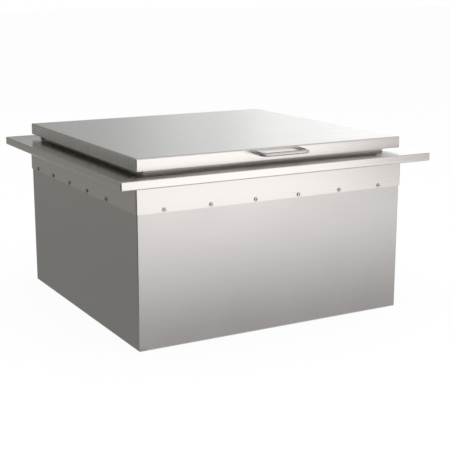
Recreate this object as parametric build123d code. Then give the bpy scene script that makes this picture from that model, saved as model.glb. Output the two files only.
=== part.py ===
# Drop-in refreshment center: an insulated ice bin that hangs in a counter by its flange, with a
# hinged insulated lid, a sliding condiment tray and a plugged drain.
# Millimetres. Origin at the centre of the base, +Z up, +X to the right, front at -Y.
import os
from build123d import *

# Ice bin, inside sizes
BIN_W = 536.0
BIN_D = 510.0
BIN_DEPTH = 304.5
BIN_CORNER_R = 20.0
BIN_FLOOR_R = 8.0
LINER_SHEET = 1.0

# Insulation boards
FOAM_WALL = 35.5
FOAM_FLOOR = 40.0
FOAM_FIT = 0.5

# Outer box and the band screwed round its top
BODY_SHEET = 1.0
INSIDE_BEND = 1.2
BAND_SHEET = 1.5
BAND_H = 70.8
BAND_FIT = 0.3
BOX_LAP = 55.0

# Band screws
SCREW_COUNT = 6
SIDE_SCREW_COUNT = 5
SCREW_END = 57.8
SIDE_SCREW_END = 45.0
SCREW_RISE = 5.2
SCREW_HEAD_R = 4.0
SCREW_HEAD_H = 2.4
SCREW_SHANK_R = 1.9
SCREW_TIP = 4.0
SCREW_HOLE_FIT = 0.1

# Counter flange with its folded lip and raised collar
FLANGE_SIDE = 46.5
FLANGE_FRONT = 38.5
FLANGE_SHEET = 1.5
LIP_H = 17.2
LIP_RETURN = 12.0
LIP_EDGE_R = 1.2
COLLAR_H = 5.8
COLLAR_W = 12.5
COLLAR_CORNER_R = 3.0
RIM_FIT = 0.5

# Lid
LID_OVERHANG = 24.5
LID_H = 24.0
LID_SHEET = 1.2
LID_LINER_SHEET = 1.0
LID_LINER_EDGE = 6.0
LID_FIT = 0.3
GASKET_T = 3.0
GASKET_W = 8.0
GASKET_ROUND = 1.2
SEAL_GAP = 0.2

# Handle
HANDLE_SPAN = 102.0
HANDLE_REACH = 36.0
HANDLE_R = 4.0
HANDLE_BEND_R = 9.0
HANDLE_DROP = 7.5
HANDLE_SCREW_R = 2.0
HANDLE_SCREW_DEPTH = 10.0
HANDLE_HEAD_R = 3.5
HANDLE_HEAD_H = 2.4
HANDLE_POCKET = 2.0

# Hinge
HINGE_L = 560.0
HINGE_KNUCKLES = 15
HINGE_SHEET = 1.5
HINGE_LEAF = 16.0
KNUCKLE_R = 4.0
KNUCKLE_GAP = 0.4
KNUCKLE_LIFT = 0.8
KNUCKLE_SETBACK = 0.3
LEAF_CLEAR = 0.7
PIN_R = 2.0
PIN_FIT = 0.05
PIN_HEAD_R = 3.0
PIN_HEAD_L = 1.5
RIVET_COUNT = 7
RIVET_END = 25.0
RIVET_R = 2.0
RIVET_HEAD_R = 4.0
RIVET_HEAD_H = 1.2
RIVET_TAIL_R = 3.0
RIVET_TAIL_L = 3.5
RIVET_FIT = 0.05

# Drain
DRAIN_FLANGE_R = 30.0
DRAIN_FLANGE_T = 2.0
DRAIN_TUBE_R = 20.0
DRAIN_TAIL_R = 15.0
DRAIN_OUTLET_R = 10.5
DRAIN_OUTLET_L = 20.0
DRAIN_RECESS = 0.5
DRAIN_FIT = 0.3
DRAIN_GASKET_T = 1.5
DRAIN_SHELF = 2.0
SEAT_R = 17.5
SEAT_TAPER = 1.5
SEAT_H = 12.0
STRAINER_T = 1.5
STRAINER_HOLE_R = 1.8
STRAINER_HOLES = 6
LOCKNUT_H = 8.0
LOCKNUT_R = 27.0
LOCKNUT_FIT = 0.1
LOCKNUT_ROOM = 5.0
GROMMET_W = 6.0
GROMMET_T = 5.0

# Drain plug
PLUG_FIT = 0.3
PLUG_CAP_R = 22.0
PLUG_CAP_T = 3.0
PULL_R = 3.0
PULL_DEPTH = 8.0
PULL_NECK = 10.0
PULL_KNOB_R = 8.0
PULL_KNOB_H = 8.0
PULL_FIT = 0.05

# False floor
RACK_SHEET = 1.2
RACK_H = 16.0
RACK_CLEAR = 14.0
RACK_HOLE_R = 6.0
RACK_PITCH = 44.0
RACK_EDGE = 26.0
RACK_ACCESS_R = 32.0
RACK_NOTCH_W = 40.0
RACK_NOTCH_H = 6.0

# Tray rails, tray and pans
RAIL_DROP = 40.0
RAIL_W = 14.0
RAIL_LEG = 12.0
RAIL_SHEET = 1.5
RAIL_END = 2.0
TRAY_W = 200.0
TRAY_SHEET = 1.5
TRAY_EDGE = 14.0
TRAY_CLEAR = 2.0
TRAY_LIFT = 0.3
PAN_COUNT = 3
PAN_W = 170.0
PAN_D = 150.0
PAN_H = 90.0
PAN_GAP = 6.0
PAN_RIM = 7.0
PAN_WALL = 1.5
PAN_CORNER_R = 16.0
PAN_FLOOR_R = 8.0
PAN_FIT = 1.0

# Sizes that follow
CUT = 1.0
BODY_WALL = LINER_SHEET + FOAM_WALL + FOAM_FIT + BODY_SHEET
BODY_W = BIN_W + 2 * BODY_WALL
BODY_D = BIN_D + 2 * BODY_WALL
BAND_W = BODY_W + 2 * (BAND_FIT + BAND_SHEET)
BAND_D = BODY_D + 2 * (BAND_FIT + BAND_SHEET)
FLANGE_W = BAND_W + 2 * FLANGE_SIDE
FLANGE_D = BAND_D + 2 * FLANGE_FRONT
COLLAR_OUT_W = BIN_W + 2 * COLLAR_W
COLLAR_OUT_D = BIN_D + 2 * COLLAR_W
LID_W = COLLAR_OUT_W + 2 * LID_OVERHANG
LID_D = COLLAR_OUT_D + 2 * LID_OVERHANG
LID_IN_W = LID_W - 2 * LID_SHEET
LID_IN_D = LID_D - 2 * LID_SHEET

# Heights
FOAM_TOP = BODY_SHEET + FOAM_FLOOR
BIN_FLOOR = FOAM_TOP + LINER_SHEET
COLLAR_TOP = BIN_FLOOR + BIN_DEPTH
FLANGE_TOP = COLLAR_TOP - COLLAR_H
FLANGE_UNDER = FLANGE_TOP - FLANGE_SHEET
LIP_BOTTOM = FLANGE_TOP - LIP_H
BAND_BOTTOM = FLANGE_UNDER - BAND_H
BOX_TOP = BAND_BOTTOM + BOX_LAP
SCREW_Z = BAND_BOTTOM + SCREW_RISE
LID_BOTTOM = COLLAR_TOP + GASKET_T + SEAL_GAP
LID_TOP = LID_BOTTOM + LID_H
HANDLE_Z = LID_TOP - HANDLE_DROP
RAIL_TOP = COLLAR_TOP - RAIL_DROP
TRAY_UNDER = RAIL_TOP + TRAY_LIFT
TRAY_TOP = TRAY_UNDER + TRAY_SHEET

# Places
LID_REAR = LID_D / 2
LID_FRONT = -LID_D / 2
HINGE_Y = LID_REAR + KNUCKLE_SETBACK + KNUCKLE_R
HINGE_Z = FLANGE_TOP + KNUCKLE_LIFT + KNUCKLE_R
FIXED_LEAF_Y = HINGE_Y + KNUCKLE_R + LEAF_CLEAR
RIVET_FLANGE_Y = FIXED_LEAF_Y + HINGE_LEAF / 2
RIVET_LID_Z = LID_BOTTOM + LID_LINER_EDGE + RIVET_TAIL_R + LID_FIT
MOVING_LEAF_TOP = RIVET_LID_Z + HINGE_LEAF / 2
RAIL_L = BIN_W - 2 * (BIN_CORNER_R + RAIL_END)
TRAY_TRAVEL = RAIL_L - TRAY_W
TRAY_X = -TRAY_TRAVEL / 2
PAN_PITCH = PAN_D + PAN_GAP
DRAIN_TOP = BIN_FLOOR + DRAIN_GASKET_T + DRAIN_FLANGE_T
STRAINER_TOP = DRAIN_TOP - SEAT_H
STRAINER_R = SEAT_R - SEAT_TAPER - DRAIN_FIT


# Plain block centred on the Z axis, between two heights
def block(width, depth, low, high):
    return Pos(0, 0, (low + high) / 2) * Box(width, depth, high - low)


# Block with rounded upright corners, and one rounded end: 0 is the lower, -1 the upper
def rounded(width, depth, low, high, corner, edge, end):
    solid = block(width, depth, low, high)
    solid = fillet(solid.edges().filter_by(Axis.Z), corner)
    return fillet(solid.faces().sort_by(Axis.Z)[end].edges(), edge)


# Block with upright corners rounded only
def pillar(width, depth, low, high, corner):
    solid = block(width, depth, low, high)
    return fillet(solid.edges().filter_by(Axis.Z), corner)


# Round peg along its own Z axis, between two heights
def peg(radius, low, high):
    return Pos(0, 0, (low + high) / 2) * Cylinder(radius, high - low)


# Solid turned about its own Z axis from an outline of radius and height
def turned(points):
    return revolve(Plane.XZ * make_face(Polyline(points, close=True)), Axis.Z)


def facing(point, direction):
    return Plane(origin=point, z_dir=direction)


# Peg with a rounded head above its own zero height and a shank below it
def headed(head_r, head_h, shank_r, shank_l):
    head = peg(head_r, 0, head_h)
    head = fillet(head.edges().sort_by(Axis.Z)[-1], head_h * 0.6)
    return head + peg(shank_r, -shank_l, head_h / 2)


def cross_recess(head_r, head_h):
    slot = Pos(0, 0, head_h) * Box(head_r * 1.15, head_r * 0.36, head_h * 1.2)
    return slot + Rot(0, 0, 90) * slot


def band_screw_places():
    pitch = (BAND_W - 2 * SCREW_END) / (SCREW_COUNT - 1)
    first = BAND_D / 2 - SIDE_SCREW_END
    places = []
    for i in range(SCREW_COUNT):
        x = (i - (SCREW_COUNT - 1) / 2) * pitch
        places.append(facing((x, -BAND_D / 2, SCREW_Z), (0, -1, 0)))
        places.append(facing((x, BAND_D / 2, SCREW_Z), (0, 1, 0)))
    for i in range(SIDE_SCREW_COUNT):
        y = first - i * pitch
        places.append(facing((-BAND_W / 2, y, SCREW_Z), (-1, 0, 0)))
        places.append(facing((BAND_W / 2, y, SCREW_Z), (1, 0, 0)))
    return places


def band_screw_holes():
    depth = BAND_SHEET + BAND_FIT + BODY_SHEET + CUT
    hole = peg(SCREW_SHANK_R + SCREW_HOLE_FIT, -depth, CUT)
    return [place * hole for place in band_screw_places()]


def outer_box():
    bend = INSIDE_BEND + BODY_SHEET
    skin = rounded(BODY_W, BODY_D, 0, BOX_TOP, bend, bend, 0)
    inside_w = BODY_W - 2 * BODY_SHEET
    inside_d = BODY_D - 2 * BODY_SHEET
    hollow = rounded(inside_w, inside_d, BODY_SHEET, BOX_TOP + CUT, INSIDE_BEND, INSIDE_BEND, 0)
    outlet = peg(DRAIN_TAIL_R + DRAIN_FIT, -CUT, BODY_SHEET + CUT)
    return skin - hollow - outlet - band_screw_holes()


def skirt_band():
    bend = INSIDE_BEND + BAND_SHEET
    ring = pillar(BAND_W, BAND_D, BAND_BOTTOM, FLANGE_UNDER, bend)
    inside_w = BAND_W - 2 * BAND_SHEET
    inside_d = BAND_D - 2 * BAND_SHEET
    ring -= pillar(inside_w, inside_d, BAND_BOTTOM - CUT, FLANGE_UNDER + CUT, INSIDE_BEND)
    return ring - band_screw_holes()


def skirt_screws():
    shank = BAND_SHEET + BAND_FIT + BODY_SHEET + SCREW_TIP
    screw = headed(SCREW_HEAD_R, SCREW_HEAD_H, SCREW_SHANK_R, shank)
    screw -= cross_recess(SCREW_HEAD_R, SCREW_HEAD_H)
    return Compound(children=[place * screw for place in band_screw_places()])


# Folded channel with a return below, and a collar that steps up round the bin's mouth
def counter_flange():
    bend = INSIDE_BEND + FLANGE_SHEET
    sheet = FLANGE_SHEET
    fold = rounded(FLANGE_W, FLANGE_D, LIP_BOTTOM, FLANGE_TOP, bend, bend, 0)
    fold = fillet(fold.faces().sort_by(Axis.Z)[-1].edges(), LIP_EDGE_R)
    inside_w = FLANGE_W - 2 * sheet
    inside_d = FLANGE_D - 2 * sheet
    fold -= rounded(inside_w, inside_d, LIP_BOTTOM + sheet, FLANGE_UNDER, INSIDE_BEND, INSIDE_BEND, 0)
    opening_w = FLANGE_W - 2 * LIP_RETURN
    opening_d = FLANGE_D - 2 * LIP_RETURN
    fold -= block(opening_w, opening_d, LIP_BOTTOM - CUT, LIP_BOTTOM + sheet + CUT)
    collar = rounded(COLLAR_OUT_W, COLLAR_OUT_D, FLANGE_UNDER, COLLAR_TOP, COLLAR_CORNER_R, INSIDE_BEND, -1)
    hollow_w = COLLAR_OUT_W - 2 * sheet
    hollow_d = COLLAR_OUT_D - 2 * sheet
    hollow_r = COLLAR_CORNER_R - sheet
    collar_hollow = pillar(hollow_w, hollow_d, FLANGE_UNDER - CUT, COLLAR_TOP - sheet, hollow_r)
    mouth = pillar(BIN_W, BIN_D, FLANGE_UNDER - CUT, COLLAR_TOP + CUT, BIN_CORNER_R)
    return fold + collar - collar_hollow - mouth - flange_rivet_holes()


def ice_bin_liner():
    rim_under = COLLAR_TOP - FLANGE_SHEET - LINER_SHEET
    rim_top = rim_under + LINER_SHEET
    wall_w = BIN_W + 2 * LINER_SHEET
    wall_d = BIN_D + 2 * LINER_SHEET
    corner = BIN_CORNER_R + LINER_SHEET
    tub = rounded(wall_w, wall_d, FOAM_TOP, rim_top, corner, BIN_FLOOR_R + LINER_SHEET, 0)
    rim_w = COLLAR_OUT_W - 2 * (FLANGE_SHEET + RIM_FIT)
    rim_d = COLLAR_OUT_D - 2 * (FLANGE_SHEET + RIM_FIT)
    tub += pillar(rim_w, rim_d, rim_under, rim_top, COLLAR_CORNER_R)
    tub -= rounded(BIN_W, BIN_D, BIN_FLOOR, rim_top + CUT, BIN_CORNER_R, BIN_FLOOR_R, 0)
    return tub - peg(DRAIN_TUBE_R + DRAIN_FIT, FOAM_TOP - CUT, BIN_FLOOR + CUT)


# Groove that keeps a board clear of the screw tips
def screw_groove(length):
    depth = SCREW_TIP + FOAM_FIT
    height = 2 * (SCREW_HEAD_R + FOAM_FIT)
    return Box(length, 2 * depth, height)


def foam_end_board(side):
    length = BODY_W - 2 * (BODY_SHEET + FOAM_FIT)
    top = FLANGE_UNDER - FOAM_FIT
    y_in = BIN_D / 2 + LINER_SHEET
    y_mid = y_in + FOAM_WALL / 2
    board = Pos(0, y_mid, 0) * block(length, FOAM_WALL, FOAM_TOP, top)
    board -= Pos(0, y_in + FOAM_WALL, SCREW_Z) * screw_groove(length + CUT)
    return board if side > 0 else mirror(board, Plane.XZ)


def foam_side_board(side):
    length = BIN_D + 2 * (LINER_SHEET - FOAM_FIT)
    top = FLANGE_UNDER - FOAM_FIT
    x_in = BIN_W / 2 + LINER_SHEET
    x_mid = x_in + FOAM_WALL / 2
    board = Pos(x_mid, 0, 0) * block(FOAM_WALL, length, FOAM_TOP, top)
    board -= Pos(x_in + FOAM_WALL, 0, SCREW_Z) * Rot(0, 0, 90) * screw_groove(length + CUT)
    return board if side > 0 else mirror(board, Plane.YZ)


def foam_floor():
    width = BODY_W - 2 * (BODY_SHEET + FOAM_FIT)
    depth = BODY_D - 2 * (BODY_SHEET + FOAM_FIT)
    board = block(width, depth, BODY_SHEET, FOAM_TOP)
    board = chamfer(board.faces().sort_by(Axis.Z)[0].edges(), INSIDE_BEND)
    return board - peg(LOCKNUT_R + LOCKNUT_ROOM, 0, FOAM_TOP + CUT)


def lid_skin():
    bend = INSIDE_BEND + LID_SHEET
    skin = rounded(LID_W, LID_D, LID_BOTTOM, LID_TOP, bend, bend, -1)
    ceiling = LID_TOP - LID_SHEET
    skin -= rounded(LID_IN_W, LID_IN_D, LID_BOTTOM - CUT, ceiling, INSIDE_BEND, INSIDE_BEND, -1)
    return skin - handle_screw_holes() - lid_rivet_holes()


def lid_liner():
    width = LID_IN_W - 2 * LID_FIT
    depth = LID_IN_D - 2 * LID_FIT
    top = LID_BOTTOM + LID_LINER_EDGE
    bend = INSIDE_BEND + LID_LINER_SHEET
    pan = rounded(width, depth, LID_BOTTOM, top, bend, bend, 0)
    inside_w = width - 2 * LID_LINER_SHEET
    inside_d = depth - 2 * LID_LINER_SHEET
    floor = LID_BOTTOM + LID_LINER_SHEET
    return pan - rounded(inside_w, inside_d, floor, top + CUT, INSIDE_BEND, INSIDE_BEND, 0)


def lid_foam():
    inset = LID_SHEET + 2 * LID_FIT + LID_LINER_SHEET
    corner = INSIDE_BEND + LID_LINER_SHEET
    depth = LID_D - 2 * inset
    floor = LID_BOTTOM + LID_LINER_SHEET
    board = pillar(LID_W - 2 * inset, depth, floor, LID_TOP - LID_SHEET - LID_FIT, corner)
    board = chamfer(board.faces().sort_by(Axis.Z)[0].edges(), INSIDE_BEND)
    room = 2 * (HANDLE_HEAD_R + HANDLE_POCKET)
    pocket = Box(room, 2 * (HANDLE_HEAD_H + HANDLE_POCKET), room)
    for x in (-HANDLE_SPAN / 2, HANDLE_SPAN / 2):
        board -= Pos(x, -depth / 2, HANDLE_Z) * pocket
    groove_h = 2 * (RIVET_TAIL_R + LID_FIT)
    groove = Box(HINGE_L, 2 * (RIVET_TAIL_L + LID_FIT), groove_h)
    return board - Pos(0, depth / 2, RIVET_LID_Z) * groove


# Strip on the lid liner, landing on the middle of the collar's top
def lid_gasket():
    inset = (COLLAR_W - GASKET_W) / 2
    low = COLLAR_TOP + SEAL_GAP
    width = COLLAR_OUT_W - 2 * inset
    depth = COLLAR_OUT_D - 2 * inset
    strip = pillar(width, depth, low, LID_BOTTOM, BIN_CORNER_R + GASKET_W)
    inside_w = width - 2 * GASKET_W
    inside_d = depth - 2 * GASKET_W
    strip -= pillar(inside_w, inside_d, low - CUT, LID_BOTTOM + CUT, BIN_CORNER_R)
    return fillet(strip.faces().sort_by(Axis.Z)[0].edges(), GASKET_ROUND)


def handle_screw_places():
    half = HANDLE_SPAN / 2
    inside = LID_FRONT + LID_SHEET
    return [facing((x, inside, HANDLE_Z), (0, 1, 0)) for x in (-half, half)]


def handle_screw_holes():
    hole = peg(HANDLE_SCREW_R + SCREW_HOLE_FIT, -LID_SHEET - HANDLE_SCREW_DEPTH - CUT, CUT)
    return [place * hole for place in handle_screw_places()]


def lid_handle():
    half = HANDLE_SPAN / 2
    bar_y = LID_FRONT - HANDLE_REACH
    points = [(-half, LID_FRONT), (-half, bar_y), (half, bar_y), (half, LID_FRONT)]
    route = Pos(0, 0, HANDLE_Z) * FilletPolyline(*points, radius=HANDLE_BEND_R)
    section = facing((-half, LID_FRONT, HANDLE_Z), (0, -1, 0)) * Circle(HANDLE_R)
    return sweep(section, path=route) - handle_screw_holes()


def handle_screws():
    screw = headed(HANDLE_HEAD_R, HANDLE_HEAD_H, HANDLE_SCREW_R, LID_SHEET + HANDLE_SCREW_DEPTH)
    screw -= cross_recess(HANDLE_HEAD_R, HANDLE_HEAD_H)
    return Compound(children=[place * screw for place in handle_screw_places()])


# Middle and length of each hinge knuckle: even ones are on the flange, odd ones on the lid
def knuckle_spans(first):
    pitch = HINGE_L / HINGE_KNUCKLES
    length = pitch - KNUCKLE_GAP
    return [(-HINGE_L / 2 + (i + 0.5) * pitch, length) for i in range(first, HINGE_KNUCKLES, 2)]


def knuckle(x, length, radius):
    return Pos(x, HINGE_Y, HINGE_Z) * Rot(0, 90, 0) * Cylinder(radius, length)


def pin_hole():
    return knuckle(0, HINGE_L + CUT, PIN_R + PIN_FIT)


def hinge_fixed_leaf():
    z_mid = FLANGE_TOP + HINGE_SHEET / 2
    leaf = Pos(0, FIXED_LEAF_Y + HINGE_LEAF / 2, z_mid) * Box(HINGE_L, HINGE_LEAF, HINGE_SHEET)
    reach = FIXED_LEAF_Y - HINGE_Y
    for x, length in knuckle_spans(0):
        leaf += Pos(x, HINGE_Y + reach / 2, z_mid) * Box(length, reach, HINGE_SHEET)
        leaf += knuckle(x, length, KNUCKLE_R)
    return leaf - pin_hole() - flange_rivet_holes()


def hinge_moving_leaf():
    y_mid = LID_REAR + HINGE_SHEET / 2
    height = MOVING_LEAF_TOP - LID_BOTTOM
    leaf = Pos(0, y_mid, LID_BOTTOM + height / 2) * Box(HINGE_L, HINGE_SHEET, height)
    reach = LID_BOTTOM - HINGE_Z
    for x, length in knuckle_spans(1):
        leaf += Pos(x, y_mid, HINGE_Z + reach / 2) * Box(length, HINGE_SHEET, reach)
        leaf += knuckle(x, length, KNUCKLE_R)
    return leaf - pin_hole() - lid_rivet_holes()


def hinge_pin():
    pin = knuckle(0, HINGE_L, PIN_R)
    for side in (-1, 1):
        pin += knuckle(side * (HINGE_L + PIN_HEAD_L) / 2, PIN_HEAD_L, PIN_HEAD_R)
    return pin


def rivet_xs():
    pitch = (HINGE_L - 2 * RIVET_END) / (RIVET_COUNT - 1)
    return [-HINGE_L / 2 + RIVET_END + i * pitch for i in range(RIVET_COUNT)]


def flange_rivet_places():
    top = FLANGE_TOP + HINGE_SHEET
    return [facing((x, RIVET_FLANGE_Y, top), (0, 0, 1)) for x in rivet_xs()]


def lid_rivet_places():
    face = LID_REAR + HINGE_SHEET
    return [facing((x, face, RIVET_LID_Z), (0, 1, 0)) for x in rivet_xs()]


def flange_rivet_holes():
    hole = peg(RIVET_R + RIVET_FIT, -HINGE_SHEET - FLANGE_SHEET - CUT, CUT)
    return [place * hole for place in flange_rivet_places()]


def lid_rivet_holes():
    hole = peg(RIVET_R + RIVET_FIT, -HINGE_SHEET - LID_SHEET - CUT, CUT)
    return [place * hole for place in lid_rivet_places()]


# Blind rivets: low head outside, swollen tail behind the sheets they clamp
def rivets(places, grip):
    rivet = headed(RIVET_HEAD_R, RIVET_HEAD_H, RIVET_R, grip)
    rivet += peg(RIVET_TAIL_R, -grip - RIVET_TAIL_L, -grip)
    return Compound(children=[place * rivet for place in places])


def hinge_flange_rivets():
    return rivets(flange_rivet_places(), HINGE_SHEET + FLANGE_SHEET)


def hinge_lid_rivets():
    return rivets(lid_rivet_places(), HINGE_SHEET + LID_SHEET)


# Flanged drain with a tapered seat for the plug, a shelf for the strainer and an open outlet
def drain_body():
    flange_under = DRAIN_TOP - DRAIN_FLANGE_T
    nut_under = FOAM_TOP - LOCKNUT_H
    shelf_top = STRAINER_TOP - STRAINER_T
    outlet_top = DRAIN_RECESS + DRAIN_OUTLET_L
    pocket_r = SEAT_R - SEAT_TAPER
    return turned([
        (SEAT_R, DRAIN_TOP),
        (DRAIN_FLANGE_R, DRAIN_TOP),
        (DRAIN_FLANGE_R, flange_under),
        (DRAIN_TUBE_R, flange_under),
        (DRAIN_TUBE_R, nut_under),
        (DRAIN_TAIL_R, nut_under - (DRAIN_TUBE_R - DRAIN_TAIL_R)),
        (DRAIN_TAIL_R, DRAIN_RECESS),
        (DRAIN_OUTLET_R, DRAIN_RECESS),
        (DRAIN_OUTLET_R, outlet_top),
        (pocket_r - DRAIN_SHELF, shelf_top - DRAIN_SHELF),
        (pocket_r - DRAIN_SHELF, shelf_top),
        (pocket_r, shelf_top),
        (pocket_r, STRAINER_TOP),
    ])


def drain_gasket():
    ring = peg(DRAIN_FLANGE_R, BIN_FLOOR, BIN_FLOOR + DRAIN_GASKET_T)
    return ring - peg(DRAIN_TUBE_R + DRAIN_FIT, BIN_FLOOR - CUT, DRAIN_TOP)


def drain_locknut():
    low = FOAM_TOP - LOCKNUT_H
    nut = Pos(0, 0, low) * extrude(RegularPolygon(LOCKNUT_R, 6), LOCKNUT_H)
    return nut - peg(DRAIN_TUBE_R + LOCKNUT_FIT, low - CUT, FOAM_TOP + CUT)


def drain_strainer():
    disc = peg(STRAINER_R, STRAINER_TOP - STRAINER_T, STRAINER_TOP)
    hole = Pos(0, 0, STRAINER_TOP) * Cylinder(STRAINER_HOLE_R, 2 * STRAINER_T + CUT)
    inner = PolarLocations(STRAINER_R * 0.36, STRAINER_HOLES)
    outer = PolarLocations(STRAINER_R * 0.68, 2 * STRAINER_HOLES)
    return disc - hole - [place * hole for place in inner] - [place * hole for place in outer]


def drain_grommet():
    ring = peg(DRAIN_TAIL_R + GROMMET_W, BODY_SHEET, BODY_SHEET + GROMMET_T)
    return ring - peg(DRAIN_TAIL_R + PULL_FIT, 0, BODY_SHEET + GROMMET_T + CUT)


# Tapered stopper with a cap that lies over the drain's flange
def drain_plug():
    cap_under = DRAIN_TOP + PLUG_FIT
    cap_top = cap_under + PLUG_CAP_T
    hole_r = PULL_R + PULL_FIT
    hole_low = cap_top - PULL_DEPTH
    return turned([
        (0, STRAINER_TOP + PLUG_FIT),
        (SEAT_R - SEAT_TAPER - PLUG_FIT, STRAINER_TOP + PLUG_FIT),
        (SEAT_R - PLUG_FIT, cap_under),
        (PLUG_CAP_R, cap_under),
        (PLUG_CAP_R, cap_top),
        (hole_r, cap_top),
        (hole_r, hole_low),
        (0, hole_low),
    ])


def plug_pull():
    cap_top = DRAIN_TOP + PLUG_FIT + PLUG_CAP_T
    knob_low = cap_top + PULL_NECK
    knob = peg(PULL_KNOB_R, knob_low, knob_low + PULL_KNOB_H)
    knob = fillet(knob.edges().filter_by(GeomType.CIRCLE), PULL_KNOB_H * 0.3)
    return knob + peg(PULL_R, cap_top - PULL_DEPTH, knob_low + PULL_KNOB_H / 2)


# Perforated ice rack on folded-down edges, with a way through to the plug
def false_floor():
    width = BIN_W - 2 * RACK_CLEAR
    depth = BIN_D - 2 * RACK_CLEAR
    top = BIN_FLOOR + RACK_H
    corner = max(BIN_CORNER_R - RACK_CLEAR, INSIDE_BEND + RACK_SHEET)
    bend = INSIDE_BEND + RACK_SHEET
    rack = rounded(width, depth, BIN_FLOOR, top, corner, bend, -1)
    inside_w = width - 2 * RACK_SHEET
    inside_d = depth - 2 * RACK_SHEET
    inside_r = corner - RACK_SHEET
    rack -= pillar(inside_w, inside_d, BIN_FLOOR - CUT, top - RACK_SHEET, inside_r)
    across = int((width - 2 * RACK_EDGE) // RACK_PITCH) + 1
    along = int((depth - 2 * RACK_EDGE) // RACK_PITCH) + 1
    hole = Pos(0, 0, top) * Cylinder(RACK_HOLE_R, 4 * RACK_SHEET)
    keep_out = RACK_ACCESS_R + 2 * RACK_HOLE_R
    grid = GridLocations(RACK_PITCH, RACK_PITCH, across, along)
    rack -= [place * hole for place in grid if place.position.length > keep_out]
    rack -= Pos(0, 0, top) * Cylinder(RACK_ACCESS_R, 4 * RACK_SHEET)
    notch_z = BIN_FLOOR + RACK_NOTCH_H / 2 - CUT
    rack -= Pos(0, 0, notch_z) * Box(RACK_NOTCH_W, depth + CUT, RACK_NOTCH_H + 2 * CUT)
    return rack - Pos(0, 0, notch_z) * Box(width + CUT, RACK_NOTCH_W, RACK_NOTCH_H + 2 * CUT)


# Angle on a liner wall: one leg on the wall, the other level under the tray's end
def tray_rail(side):
    wall = BIN_D / 2
    level_z = RAIL_TOP - RAIL_SHEET / 2
    rail = Pos(0, wall - RAIL_W / 2, level_z) * Box(RAIL_L, RAIL_W, RAIL_SHEET)
    leg_z = RAIL_TOP - RAIL_LEG / 2
    rail += Pos(0, wall - RAIL_SHEET / 2, leg_z) * Box(RAIL_L, RAIL_SHEET, RAIL_LEG)
    return rail if side > 0 else mirror(rail, Plane.XZ)


def pan_ys():
    return [(i - (PAN_COUNT - 1) / 2) * PAN_PITCH for i in range(PAN_COUNT)]


# Plate with an opening for each pan and folded-down long edges between the rails
def condiment_tray():
    depth = BIN_D - 2 * TRAY_CLEAR
    edge_l = BIN_D - 2 * (RAIL_W + TRAY_CLEAR)
    low = TRAY_UNDER - TRAY_EDGE
    tray = block(TRAY_W, depth, TRAY_UNDER, TRAY_TOP)
    edges = block(TRAY_W, edge_l, low, TRAY_TOP)
    edges -= block(TRAY_W - 2 * TRAY_SHEET, edge_l + CUT, low - CUT, TRAY_UNDER)
    tray += edges
    open_w = PAN_W - 2 * PAN_RIM + 2 * PAN_FIT
    open_d = PAN_D - 2 * PAN_RIM + 2 * PAN_FIT
    for y in pan_ys():
        tray -= Pos(0, y, 0) * pillar(open_w, open_d, low - CUT, TRAY_TOP + CUT, PAN_CORNER_R)
    return Pos(TRAY_X, 0, 0) * tray


def condiment_pan(y):
    low = TRAY_TOP + PAN_WALL - PAN_H
    top = TRAY_TOP + PAN_WALL
    body_w = PAN_W - 2 * PAN_RIM
    body_d = PAN_D - 2 * PAN_RIM
    pan = rounded(body_w, body_d, low, top, PAN_CORNER_R, PAN_FLOOR_R, 0)
    pan += pillar(PAN_W, PAN_D, TRAY_TOP, top, PAN_CORNER_R + PAN_RIM / 2)
    inside_w = body_w - 2 * PAN_WALL
    inside_d = body_d - 2 * PAN_WALL
    corner = PAN_CORNER_R - PAN_WALL
    pan -= rounded(inside_w, inside_d, low + PAN_WALL, top + CUT, corner, PAN_FLOOR_R - PAN_WALL, 0)
    return Pos(TRAY_X, y, 0) * pan


def assembly():
    nodes = {
        "outer_box": outer_box(),
        "skirt_band": skirt_band(),
        "skirt_screws": skirt_screws(),
        "counter_flange": counter_flange(),
        "ice_bin_liner": ice_bin_liner(),
        "foam_front": foam_end_board(-1),
        "foam_rear": foam_end_board(1),
        "foam_left": foam_side_board(-1),
        "foam_right": foam_side_board(1),
        "foam_floor": foam_floor(),
        "lid_skin": lid_skin(),
        "lid_liner": lid_liner(),
        "lid_foam": lid_foam(),
        "lid_gasket": lid_gasket(),
        "lid_handle": lid_handle(),
        "handle_screws": handle_screws(),
        "hinge_fixed_leaf": hinge_fixed_leaf(),
        "hinge_moving_leaf": hinge_moving_leaf(),
        "hinge_pin": hinge_pin(),
        "hinge_flange_rivets": hinge_flange_rivets(),
        "hinge_lid_rivets": hinge_lid_rivets(),
        "drain_body": drain_body(),
        "drain_gasket": drain_gasket(),
        "drain_locknut": drain_locknut(),
        "drain_strainer": drain_strainer(),
        "drain_grommet": drain_grommet(),
        "drain_plug": drain_plug(),
        "plug_pull": plug_pull(),
        "false_floor": false_floor(),
        "tray_rail_front": tray_rail(-1),
        "tray_rail_rear": tray_rail(1),
        "condiment_tray": condiment_tray(),
    }
    for number, y in enumerate(pan_ys(), start=1):
        nodes[f"condiment_pan_{number}"] = condiment_pan(y)
    return nodes


os.makedirs("parts", exist_ok=True)
for name, shape in assembly().items():
    export_step(shape, os.path.join("parts", name + ".step"))
    print(name)
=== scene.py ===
import math

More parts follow.
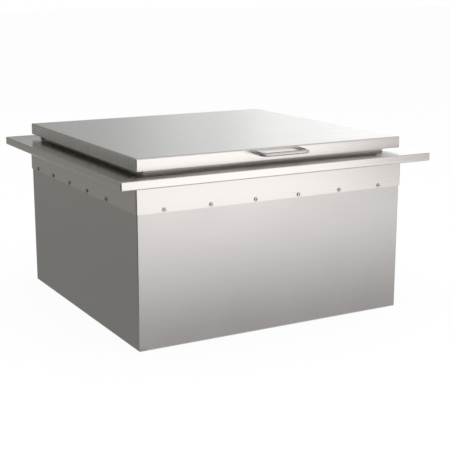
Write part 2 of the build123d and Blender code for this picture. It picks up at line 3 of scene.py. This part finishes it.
import bpy
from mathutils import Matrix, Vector


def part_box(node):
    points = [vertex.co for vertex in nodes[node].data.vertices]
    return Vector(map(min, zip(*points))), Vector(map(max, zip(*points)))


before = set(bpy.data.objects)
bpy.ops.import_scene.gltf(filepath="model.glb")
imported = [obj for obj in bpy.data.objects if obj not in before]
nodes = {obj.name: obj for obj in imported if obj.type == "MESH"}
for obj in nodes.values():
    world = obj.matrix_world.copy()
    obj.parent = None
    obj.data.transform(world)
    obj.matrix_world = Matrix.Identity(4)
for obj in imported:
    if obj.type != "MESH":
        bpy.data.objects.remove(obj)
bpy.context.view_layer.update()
mm = 0.001  # the looks give lengths in millimetres
noiseLow, noiseHigh = 0.3, 0.7  # noise seldom goes past these, so they become a look's two ends
squareOn = 0.7  # a face looks along an axis when its normal has more than this of it
print("frame loaded:", len(nodes), "nodes")


def hexColour(code):  # sRGB hex to the linear colour that the sockets take
    channels = [int(code[i:i + 2], 16) / 255 for i in (1, 3, 5)]
    linear = [c / 12.92 if c <= 0.04045 else ((c + 0.055) / 1.055) ** 2.4 for c in channels]
    return (*linear, 1.0)


def addNode(tree, kind, settings=None, sockets=None):
    # a socket given a node is linked to its first output, one given an output is linked to that,
    # and anything else is set on it; a Mix node's sockets go by number, 0 for the share,
    # 2 and 3 for two numbers, 6 and 7 for two colours, which come out at 2
    node = tree.nodes.new("ShaderNode" + kind)
    for name, value in (settings or {}).items():
        setattr(node, name, value)
    for name, value in (sockets or {}).items():
        if isinstance(value, bpy.types.Node):
            value = value.outputs[0]
        if isinstance(value, bpy.types.NodeSocket):
            tree.links.new(value, node.inputs[name])
        else:
            node.inputs[name].default_value = value
    return node


def emptyMaterial(name):
    material = bpy.data.materials.new(name)
    material.use_nodes = True
    material.node_tree.nodes.clear()
    return material, material.node_tree


def newFinish(name, metallic=1.0, ior=None):
    finish, tree = emptyMaterial(name)
    shader = addNode(tree, "BsdfPrincipled", None, {"Metallic": metallic})
    if ior:  # a metal keeps the default
        shader.inputs["IOR"].default_value = ior
    addNode(tree, "OutputMaterial", None, {"Surface": shader})
    return finish, tree, shader, addNode(tree, "TexCoord")


def shadeFinish(tree, shader, look, tone, rough=None, relief=None):
    # tone takes the colour from dark to light, rough takes the roughness from low to high, and
    # relief is the height of the skin; where no rough is given, the look has one even number
    ends = {"From Min": noiseLow, "From Max": noiseHigh}
    share = addNode(tree, "MapRange", None, {"Value": tone, **ends})
    colour = addNode(tree, "Mix", {"data_type": "RGBA"},
                     {0: share, 6: hexColour(look["dark"]), 7: hexColour(look["light"])}).outputs[2]
    tree.links.new(colour, shader.inputs["Base Color"])
    if rough:
        rough = addNode(tree, "MapRange", None, {"Value": rough, **ends, "To Min": look["roughLow"],
                                                 "To Max": look["roughHigh"]})
        tree.links.new(rough.outputs[0], shader.inputs["Roughness"])
    else:
        shader.inputs["Roughness"].default_value = look["rough"]
    if relief:
        bump = addNode(tree, "Bump", None, {"Strength": look["bump"], "Height": relief,
                                            "Distance": look["bumpDepth"] * mm})
        tree.links.new(bump.outputs[0], shader.inputs["Normal"])
    return colour, rough


# Type 304 stainless sheet, belt-brushed (No. 4 finish): a satin grey with fine straight grain.
# Real scratches are about 0.1 mm wide, a twentieth of a pixel here, so they are drawn 0.8 mm wide.
brushed = {
    "dark": "#cfcdc9", "light": "#d8d6d2",
    "scratchLength": 150, "scratchWidth": 0.8,
    "passLength": 900, "passWidth": 16, "passShare": 0.35,
    "roughLow": 0.26, "roughHigh": 0.32, "bump": 0.3, "bumpDepth": 0.01,
}
brushedRim = {  # keener and rubbed are what grain and wear do to its roughness
    **brushed, "dark": "#cdcbc7", "light": "#d6d4d0", "roughLow": 0.25, "roughHigh": 0.31,
    "keener": 0.1, "rubbed": 0.09, "rubbedFull": 140, "rubbedEnd": 260,
}
brushedWrap = {**brushed, "dark": "#cac8c4", "light": "#d2d0cb"}


def brushSheet(tree, shader, look, along, across):
    # scratches are long thin noise, one cell as long and as wide as a drawn scratch, and belt
    # passes are the broad soft stripes that the sanding belt leaves along the sheet
    strokes = {}
    fineness = {"scratch": {"Detail": 3.0, "Roughness": 0.65}, "pass": {"Detail": 1.0}}
    for kind, fine in fineness.items():
        length, width = look[kind + "Length"] * mm, look[kind + "Width"] * mm
        reach = addNode(tree, "Math", {"operation": "DIVIDE"}, {0: along, 1: length})
        girth = addNode(tree, "Math", {"operation": "DIVIDE"}, {0: across, 1: width})
        cells = addNode(tree, "CombineXYZ", None, {"X": reach, "Y": girth})
        strokes[kind] = addNode(tree, "TexNoise", {"noise_dimensions": "2D"},
                                {"Vector": cells, "Scale": 1.0, **fine})
    blend = addNode(tree, "Mix", {"data_type": "FLOAT"},
                    {0: look["passShare"], 2: strokes["scratch"], 3: strokes["pass"]})
    return shadeFinish(tree, shader, look, blend, blend, strokes["scratch"])


def brushedLidSheet():
    # one folded blank: grain left to right on the top and front, so up and down on the end folds
    finish, tree, shader, coords = newFinish("brushedStainlessLid")
    x, y, z = addNode(tree, "SeparateXYZ", None, {0: coords.outputs["Object"]}).outputs
    facing = addNode(tree, "SeparateXYZ", None, {0: coords.outputs["Normal"]})
    sideways = addNode(tree, "Math", {"operation": "ABSOLUTE"}, {0: facing.outputs["X"]})
    endFold = addNode(tree, "Math", {"operation": "GREATER_THAN"}, {0: sideways, 1: squareOn})
    overFold = addNode(tree, "Math", {"operation": "ADD"}, {0: y, 1: z})
    along = addNode(tree, "Mix", {"data_type": "FLOAT"}, {0: endFold, 2: x, 3: z})
    across = addNode(tree, "Mix", {"data_type": "FLOAT"}, {0: endFold, 2: overFold, 3: y})
    brushSheet(tree, shader, brushed, along, across)
    return finish


def brushedFlangeSheet():
    # four strips: the grain runs along each one and changes at the corners
    finish, tree, shader, coords = newFinish("brushedStainlessFlange")
    low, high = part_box("counter_flange")
    x, y, z = addNode(tree, "SeparateXYZ", None, {0: coords.outputs["Object"]}).outputs
    outX = addNode(tree, "Math", {"operation": "ABSOLUTE"}, {0: x})
    outY = addNode(tree, "Math", {"operation": "ABSOLUTE"}, {0: y})
    lead = addNode(tree, "Math", {"operation": "SUBTRACT"}, {0: outX, 1: outY})
    sideStrip = addNode(tree, "Math", {"operation": "GREATER_THAN"},
                        {0: lead, 1: (high.x - low.x - high.y + low.y) / 2})
    along = addNode(tree, "Mix", {"data_type": "FLOAT"}, {0: sideStrip, 2: x, 3: y})
    outward = addNode(tree, "Mix", {"data_type": "FLOAT"}, {0: sideStrip, 2: y, 3: x})
    across = addNode(tree, "Math", {"operation": "ADD"}, {0: outward, 1: z})
    _, rough = brushSheet(tree, shader, brushedRim, along, across)
    # brushed steel mirrors more keenly along its grain, so the side strips are smoother
    keener = addNode(tree, "Math", {"operation": "MULTIPLY"},
                     {0: sideStrip, 1: -brushedRim["keener"]})
    grained = addNode(tree, "Math", {"operation": "ADD"}, {0: rough, 1: keener})
    # hands and cans rub the flat in front of the handle duller
    facing = addNode(tree, "SeparateXYZ", None, {0: coords.outputs["Normal"]})
    flat = addNode(tree, "Math", {"operation": "GREATER_THAN"},
                   {0: facing.outputs["Z"], 1: squareOn})
    front = addNode(tree, "Math", {"operation": "LESS_THAN"}, {0: y, 1: 0.0})
    frontFlat = addNode(tree, "Math", {"operation": "MULTIPLY"}, {0: flat, 1: front})
    wear = addNode(tree, "MapRange", {"interpolation_type": "SMOOTHSTEP"},
                   {"Value": outX, "From Min": brushedRim["rubbedFull"] * mm,
                    "From Max": brushedRim["rubbedEnd"] * mm,
                    "To Min": brushedRim["rubbed"], "To Max": 0.0})
    worn = addNode(tree, "Math", {"operation": "MULTIPLY"}, {0: frontFlat, 1: wear})
    used = addNode(tree, "Math", {"operation": "ADD"}, {0: grained, 1: worn})
    tree.links.new(used.outputs[0], shader.inputs["Roughness"])
    return finish


def brushedBandSheet():
    # wrapped round the box, so the grain runs level on all four faces
    finish, tree, shader, coords = newFinish("brushedStainlessBand")
    x, y, z = addNode(tree, "SeparateXYZ", None, {0: coords.outputs["Object"]}).outputs
    along = addNode(tree, "Math", {"operation": "ADD"}, {0: x, 1: y})
    brushSheet(tree, shader, brushedWrap, along, z)
    return finish


# Type 304 stainless, dull-rolled (2B mill finish): a smooth grey with a faint rolled cloudiness and
# hardly any grain. The 0.05 mm rolling marks are drawn 2.5 mm wide so that they show at all.
rolled = {
    "dark": "#bdbcb9", "light": "#c3c2bf",
    "markLength": 260, "markWidth": 2.5, "cloud": 130, "cloudShare": 0.6,
    "roughLow": 0.3, "roughHigh": 0.36, "bump": 0.35, "bumpDepth": 0.02,
}


def rolledBodySheet():
    finish, tree, shader, coords = newFinish("millRolledStainlessBody")
    perLength, perWidth = 1 / (rolled["markLength"] * mm), 1 / (rolled["markWidth"] * mm)
    marks = addNode(tree, "Mapping", None, {"Vector": coords.outputs["Object"],
                                            "Scale": (perLength, perLength, perWidth)})
    streaks = addNode(tree, "TexNoise", None, {"Vector": marks, "Scale": 1.0, "Detail": 2.0})
    clouds = addNode(tree, "TexNoise", None, {"Vector": coords.outputs["Object"], "Detail": 2.0,
                                              "Scale": 1 / (rolled["cloud"] * mm)})
    blend = addNode(tree, "Mix", {"data_type": "FLOAT"},
                    {0: rolled["cloudShare"], 2: streaks, 3: clouds})
    shadeFinish(tree, shader, rolled, blend, clouds, streaks)
    return finish


# Stainless steel without grain, varied only by a soft haze of one size.
grainless = {
    # deep-drawn liner, polished after drawing: brighter than the outside, with soft ripples
    "polishedDrawnStainless": {"dark": "#cfcdc9", "light": "#d8d6d2", "haze": 90,
                               "roughLow": 0.22, "roughHigh": 0.28, "bump": 0.2, "bumpDepth": 0.05},
    # cold-drawn bar and turned fittings, buffed: nearly a mirror, a little hazed by the mop
    "buffedStainlessBar": {"dark": "#bbb9b5", "light": "#cac8c4", "haze": 9,
                           "roughLow": 0.03, "roughHigh": 0.07},
    # hinge and rivets straight from the tumbler: dull, with a fine mottle
    "tumbledStainlessFastener": {"dark": "#8f8d89", "light": "#a9a7a3", "haze": 1.6,
                                 "roughLow": 0.26, "roughHigh": 0.4},
}


def grainlessSteel(name):
    look = grainless[name]
    finish, tree, shader, coords = newFinish(name)
    haze = addNode(tree, "TexNoise", None, {"Vector": coords.outputs["Object"], "Detail": 3.0,
                                            "Scale": 1 / (look["haze"] * mm)})
    shadeFinish(tree, shader, look, haze, haze, haze if "bump" in look else None)
    return finish


# Cold-headed stainless pan-head screws: a bright crown, with painted shade, near black, in the
# cross
# # recess and under the rim, so each reads as a pale button with a dark middle and outline.
coldHeaded = {
    "paintedShade": "#2b2a28", "dark": "#cbc9c5", "light": "#dbd9d5", "haze": 1.6,
    "paintedShadeTop": 0.9, "crownFrom": 1.5, "roughLow": 0.16, "roughHigh": 0.26,
}


def coldHeadedScrew():
    finish, tree, shader, coords = newFinish("coldHeadedStainlessScrew")
    haze = addNode(tree, "TexNoise", None, {"Vector": coords.outputs["Object"], "Detail": 3.0,
                                            "Scale": 1 / (coldHeaded["haze"] * mm)})
    steel, _ = shadeFinish(tree, shader, coldHeaded, haze, haze)
    # the height over the band's face tells the crown from the recess and the rim
    _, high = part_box("skirt_band")
    x, y, _ = addNode(tree, "SeparateXYZ", None, {0: coords.outputs["Object"]}).outputs
    outX = addNode(tree, "Math", {"operation": "ABSOLUTE"}, {0: x})
    outY = addNode(tree, "Math", {"operation": "ABSOLUTE"}, {0: y})
    aboveX = addNode(tree, "Math", {"operation": "SUBTRACT"}, {0: outX, 1: high.x})
    aboveY = addNode(tree, "Math", {"operation": "SUBTRACT"}, {0: outY, 1: high.y})
    height = addNode(tree, "Math", {"operation": "MAXIMUM"}, {0: aboveX, 1: aboveY})
    crown = addNode(tree, "MapRange", {"interpolation_type": "SMOOTHSTEP"},
                    {"Value": height, "From Min": coldHeaded["paintedShadeTop"] * mm,
                     "From Max": coldHeaded["crownFrom"] * mm})
    # painted shade: everything lower than the crown, the recess and the rim, is coloured near black
    colour = addNode(tree, "Mix", {"data_type": "RGBA"},
                     {0: crown, 6: hexColour(coldHeaded["paintedShade"]), 7: steel})
    tree.links.new(colour.outputs[2], shader.inputs["Base Color"])
    return finish


moulded = {
    # EPDM rubber, extruded or moulded: soft black with a dry bloom and a faint pebbled skin
    "epdmRubber": {"dark": "#161617", "light": "#2a2a2b", "rough": 0.72, "ior": 1.52,
                   "grain": 1.2, "bloom": 30, "bloomShare": 0.5, "bump": 0.3, "bumpDepth": 0.08},
    # polyurethane foam board: cream, with open cells about a millimetre across
    "polyurethaneFoam": {"dark": "#cdbd8e", "light": "#e9dfbb", "rough": 0.9, "ior": 1.45,
                         "grain": 1.1, "bloom": 27.5, "bloomShare": 0.5,
                         "bump": 0.6, "bumpDepth": 0.4},
    # moulded polypropylene food pan: milky white with a fine orange peel
    "polypropylenePan": {"dark": "#dcd9cf", "light": "#efede6", "rough": 0.38, "ior": 1.49,
                         "grain": 1.8, "bloom": 45, "bloomShare": 0.5,
                         "bump": 0.25, "bumpDepth": 0.03},
}


def mouldedFinish(name):
    look = moulded[name]
    finish, tree, shader, coords = newFinish(name, 0.0, look["ior"])
    grain, bloom = [addNode(tree, "TexNoise", None, {"Vector": coords.outputs["Object"],
                                                     "Scale": 1 / (look[size] * mm), "Detail": 2.0})
                    for size in ("grain", "bloom")]
    blend = addNode(tree, "Mix", {"data_type": "FLOAT"},
                    {0: look["bloomShare"], 2: grain, 3: bloom})
    shadeFinish(tree, shader, look, blend, relief=grain)
    return finish


wornBy = [
    (brushedLidSheet(), ["lid_skin", "lid_liner"]),
    (brushedFlangeSheet(), ["counter_flange"]),
    (brushedBandSheet(), ["skirt_band"]),
    (rolledBodySheet(), ["outer_box"]),
    (grainlessSteel("polishedDrawnStainless"),
     ["ice_bin_liner", "false_floor", "tray_rail_front", "tray_rail_rear", "condiment_tray"]),
    (grainlessSteel("buffedStainlessBar"),
     ["lid_handle", "plug_pull", "drain_body", "drain_strainer", "drain_locknut"]),
    (grainlessSteel("tumbledStainlessFastener"),
     ["handle_screws", "hinge_fixed_leaf", "hinge_moving_leaf", "hinge_pin", "hinge_flange_rivets",
      "hinge_lid_rivets"]),
    (coldHeadedScrew(), ["skirt_screws"]),
    (mouldedFinish("epdmRubber"), ["lid_gasket", "drain_gasket", "drain_grommet", "drain_plug"]),
    (mouldedFinish("polyurethaneFoam"),
     ["foam_front", "foam_rear", "foam_left", "foam_right", "foam_floor", "lid_foam"]),
    (mouldedFinish("polypropylenePan"), ["condiment_pan_1", "condiment_pan_2", "condiment_pan_3"]),
]
for finish, members in wornBy:
    for member in members:
        nodes[member].data.materials.clear()
        nodes[member].data.materials.append(finish)
print("finishes set on", sum(len(members) for finish, members in wornBy), "nodes")


# Studio. Steel shows what stands round it, so graded cards stand and lie where each face looks.
# They are seen by reflections alone: they cast no light or shadow and the camera doesn't see them.
# A card's stops are shares of its way along X, or along Y, which is up on a standing card.
lying, standing, standingAtSide = (0, 0, 0), (90, 0, 0), (90, 0, 90)  # turns, in degrees


def evenly(shade):  # the stops of a card of one shade
    return [(0.0, shade), (1.0, shade)]


cards = {
    # behind and above, for the lid's top and the flange
    "backCard": {"centre": (0.4, 2.8, 0.95), "size": (8.0, 1.9), "turn": standing,
                 "runs": "X", "stops": [(0.17, "#a2a19f"), (0.28, "#7a7977"), (0.425, "#5b5a58"),
                                        (0.494, "#888887"), (0.55, "#9b9c9c"), (0.64, "#c7c9c9"),
                                        (0.7, "#eaecec"), (0.7875, "#fbfdfd")],
                 "strength": 1.66},
    "backLeftFlag": {"centre": (-2.3, 2.77, 1.08), "size": (2.6, 0.56), "turn": standing,
                     "runs": "X", "stops": [(0.4, "#7e7d7b"), (0.8, "#6a6967")], "strength": 1.0},
    "backUpperFlag": {"centre": (0.4, 2.75, 2.65), "size": (8.0, 1.5), "turn": standing,
                      "runs": "X", "stops": [(0.0, "#7c7b7a"), (1.0, "#8c8c8c")], "strength": 1.0},
    "ceilingCard": {"centre": (0.0, 0.0, 3.4), "size": (9.0, 9.0), "turn": lying,
                    "runs": "Y", "stops": [(0.3, "#f0f0f0"), (0.42, "#b4b3b2"), (1.0, "#b0b0b0")],
                    "strength": 1.2},
    # at the left and in front of the handle, for the left sides and the bar
    "leftFlag": {"centre": (-2.9, 0.0, 1.5), "size": (6.0, 3.0), "turn": standingAtSide,
                 "runs": "Y", "stops": [(0.18, "#656462"), (0.5, "#b4b3b1")], "strength": 1.0},
    "leftFloorCard": {"centre": (-1.59, 1.25, 0.002), "size": (2.6, 3.1), "turn": lying,
                      "runs": "X", "stops": [(0.722, "#83827f"), (0.752, "#b4adaa"),
                                             (0.775, "#b4adaa"), (0.81, "#8f8e8b")],
                      "strength": 1.08},
    "leftFrontCard": {"centre": (-1.575, -1.75, 0.003), "size": (2.15, 2.9), "turn": lying,
                      "runs": "X", "stops": evenly("#262524"), "strength": 1.0},
    "handleFloorCard": {"centre": (-0.165, -1.99, 0.004), "size": (0.67, 0.9), "turn": lying,
                        "runs": "X", "stops": evenly("#262524"), "strength": 1.0},
    "leftFrontFlag": {"centre": (-2.6, -3.2, 0.45), "size": (3.2, 0.9), "turn": standing,
                      "runs": "X", "stops": evenly("#1c1b1a"), "strength": 1.0},
    # in front and at the right, for the front faces
    "frontFloorCard": {"centre": (0.7, -1.735, 0.002), "size": (4.6, 2.9), "turn": lying,
                       "runs": "Y", "stops": [(0.0, "#fffbfd"), (0.45, "#fbf7f9"),
                                              (0.71, "#f8f4f6"), (0.815, "#bebbbc"),
                                              (0.99, "#959394")],
                       "strength": 1.87},
    "frontLowCard": {"centre": (1.25, -3.2, 0.2), "size": (5.5, 0.4), "turn": standing,
                     "runs": "Y", "stops": [(0.0, "#fffbfd"), (1.0, "#f4f0f2")], "strength": 1.87},
    "frontMidFlag": {"centre": (1.25, -3.2, 0.9), "size": (5.5, 1.0), "turn": standing,
                     "runs": "X", "stops": [(0.485, "#7a7879"), (0.7, "#949293")],
                     "strength": 1.87},
    "frontHighCard": {"centre": (1.25, -3.2, 2.0), "size": (5.5, 1.2), "turn": standing,
                      "runs": "Y", "stops": evenly("#d0cecf"), "strength": 1.87},
    "rightFlag": {"centre": (1.56, -1.16, 0.4), "size": (1.2, 0.8), "turn": (90, 0, 37.5),
                  "runs": "X", "stops": [(0.0, "#c6c4c3"), (1.0, "#aeacab")], "strength": 1.0},
}
softboxes = {
    "keySoftbox": {"centre": (1.5, -1.6, 2.3), "aim": (0.0, 0.0, 0.2),
                   "size": (1.4, 1.4), "watts": 16.0},
    "topSoftbox": {"centre": (-0.3, 0.0, 2.9), "aim": (0.0, 0.0, 0.0),
                   "size": (2.2, 2.2), "watts": 28.0},
}
room = {
    "backdrop": "#ffffff", "backdropGlow": 1.0, "plainLight": 0.8,
    "floorSize": 60, "floorDrop": 0.0005, "floorPaper": "#f6f6f4", "floorGlow": 0.93,
}


def seenDirectly(tree):
    # camera, mirror and see-through rays get the white background
    paths = addNode(tree, "LightPath")
    bare = addNode(tree, "Math", {"operation": "ADD", "use_clamp": True},
                   {0: paths.outputs["Is Camera Ray"], 1: paths.outputs["Is Glossy Ray"]})
    return addNode(tree, "Math", {"operation": "ADD", "use_clamp": True},
                   {0: bare, 1: paths.outputs["Is Transmission Ray"]})


def lookAlong(thing, direction):
    thing.rotation_euler = Vector(direction).to_track_quat("-Z", "Y").to_euler()


def addCard(name, card):
    bpy.ops.object.select_all(action="DESELECT")
    bpy.ops.mesh.primitive_plane_add(size=1, location=card["centre"],
                                     rotation=[math.radians(a) for a in card["turn"]])
    plane = bpy.context.object
    plane.name = name
    plane.scale = (*card["size"], 1)
    paper, tree = emptyMaterial(name + "Paper")
    coords = addNode(tree, "TexCoord")
    place = addNode(tree, "SeparateXYZ", None, {0: coords.outputs["Object"]})
    share = addNode(tree, "Math", {"operation": "ADD"},
                    {0: place.outputs[card["runs"]], 1: 0.5})  # from -0.5 to 0.5 on the plane
    ramp = addNode(tree, "ValToRGB", None, {0: share})
    ramp.color_ramp.interpolation = "EASE"
    stops = ramp.color_ramp.elements
    while len(stops) < len(card["stops"]):
        stops.new(0.5)  # put in its place below
    for stop, (where, shade) in zip(stops, card["stops"]):
        stop.position = where
        stop.color = hexColour(shade)
    glow = addNode(tree, "Emission", None, {"Color": ramp, "Strength": card["strength"]})
    addNode(tree, "OutputMaterial", None, {"Surface": glow})
    paper.cycles.emission_sampling = "NONE"
    plane.data.materials.append(paper)
    plane.visible_camera = plane.visible_diffuse = plane.visible_shadow = False
    plane.visible_transmission = plane.visible_volume_scatter = False


def addSoftbox(name, box):
    bpy.ops.object.select_all(action="DESELECT")
    bpy.ops.object.light_add(type="AREA", location=box["centre"])
    lamp = bpy.context.object
    lamp.name = name
    lamp.data.shape = "RECTANGLE"
    lamp.data.size, lamp.data.size_y = box["size"]
    lamp.data.energy = box["watts"]
    lookAlong(lamp, Vector(box["aim"]) - Vector(box["centre"]))
    lamp.visible_camera = lamp.visible_glossy = False  # the cards are what steel mirrors


def addFloor():
    bpy.ops.object.select_all(action="DESELECT")
    bpy.ops.mesh.primitive_plane_add(size=room["floorSize"], location=(0, 0, -room["floorDrop"]))
    floor = bpy.context.object
    floor.name = "studioFloor"
    paper, tree = emptyMaterial("paleFloorPaper")
    share = addNode(tree, "Math", {"operation": "MULTIPLY"},
                    {0: seenDirectly(tree), 1: room["floorGlow"]})  # the rest shows the shadow
    lit = addNode(tree, "BsdfDiffuse", None, {"Color": hexColour(room["floorPaper"])})
    white = addNode(tree, "Emission", None, {"Color": hexColour(room["backdrop"]),
                                             "Strength": room["backdropGlow"]})
    mixed = addNode(tree, "MixShader", None, {0: share, 1: lit, 2: white})
    addNode(tree, "OutputMaterial", None, {"Surface": mixed})
    paper.cycles.emission_sampling = "NONE"
    floor.data.materials.append(paper)


def addWorld():
    world = bpy.data.worlds.new("whiteStudio")
    bpy.context.scene.world = world
    world.use_nodes = True
    tree = world.node_tree
    tree.nodes.clear()
    plain, white = [addNode(tree, "Background", None, {"Color": hexColour(room["backdrop"]),
                                                       "Strength": room[level]})
                    for level in ("plainLight", "backdropGlow")]
    mixed = addNode(tree, "MixShader", None, {0: seenDirectly(tree), 1: plain, 2: white})
    addNode(tree, "OutputWorld", None, {"Surface": mixed})


addWorld()
addFloor()
for cardName, card in cards.items():
    addCard(cardName, card)
for boxName, box in softboxes.items():
    addSoftbox(boxName, box)
bpy.context.scene.view_settings.view_transform = "Standard"
print("studio set:", len(cards), "cards and", len(softboxes), "softboxes")

# the photo's viewing angle, fitted to the corners of the lid, the flange and the box
viewpoint = {"eye": (-1.07247, -1.99913, 0.67924), "forward": (0.4755, 0.85061, -0.22442),
             "lens": 82.396, "sensor": 36}
bpy.ops.object.select_all(action="DESELECT")
bpy.ops.object.camera_add(location=viewpoint["eye"])
camera = bpy.context.object
lookAlong(camera, viewpoint["forward"])
camera.data.lens = viewpoint["lens"]
camera.data.sensor_width = viewpoint["sensor"]
bpy.context.scene.camera = camera
print("camera set")
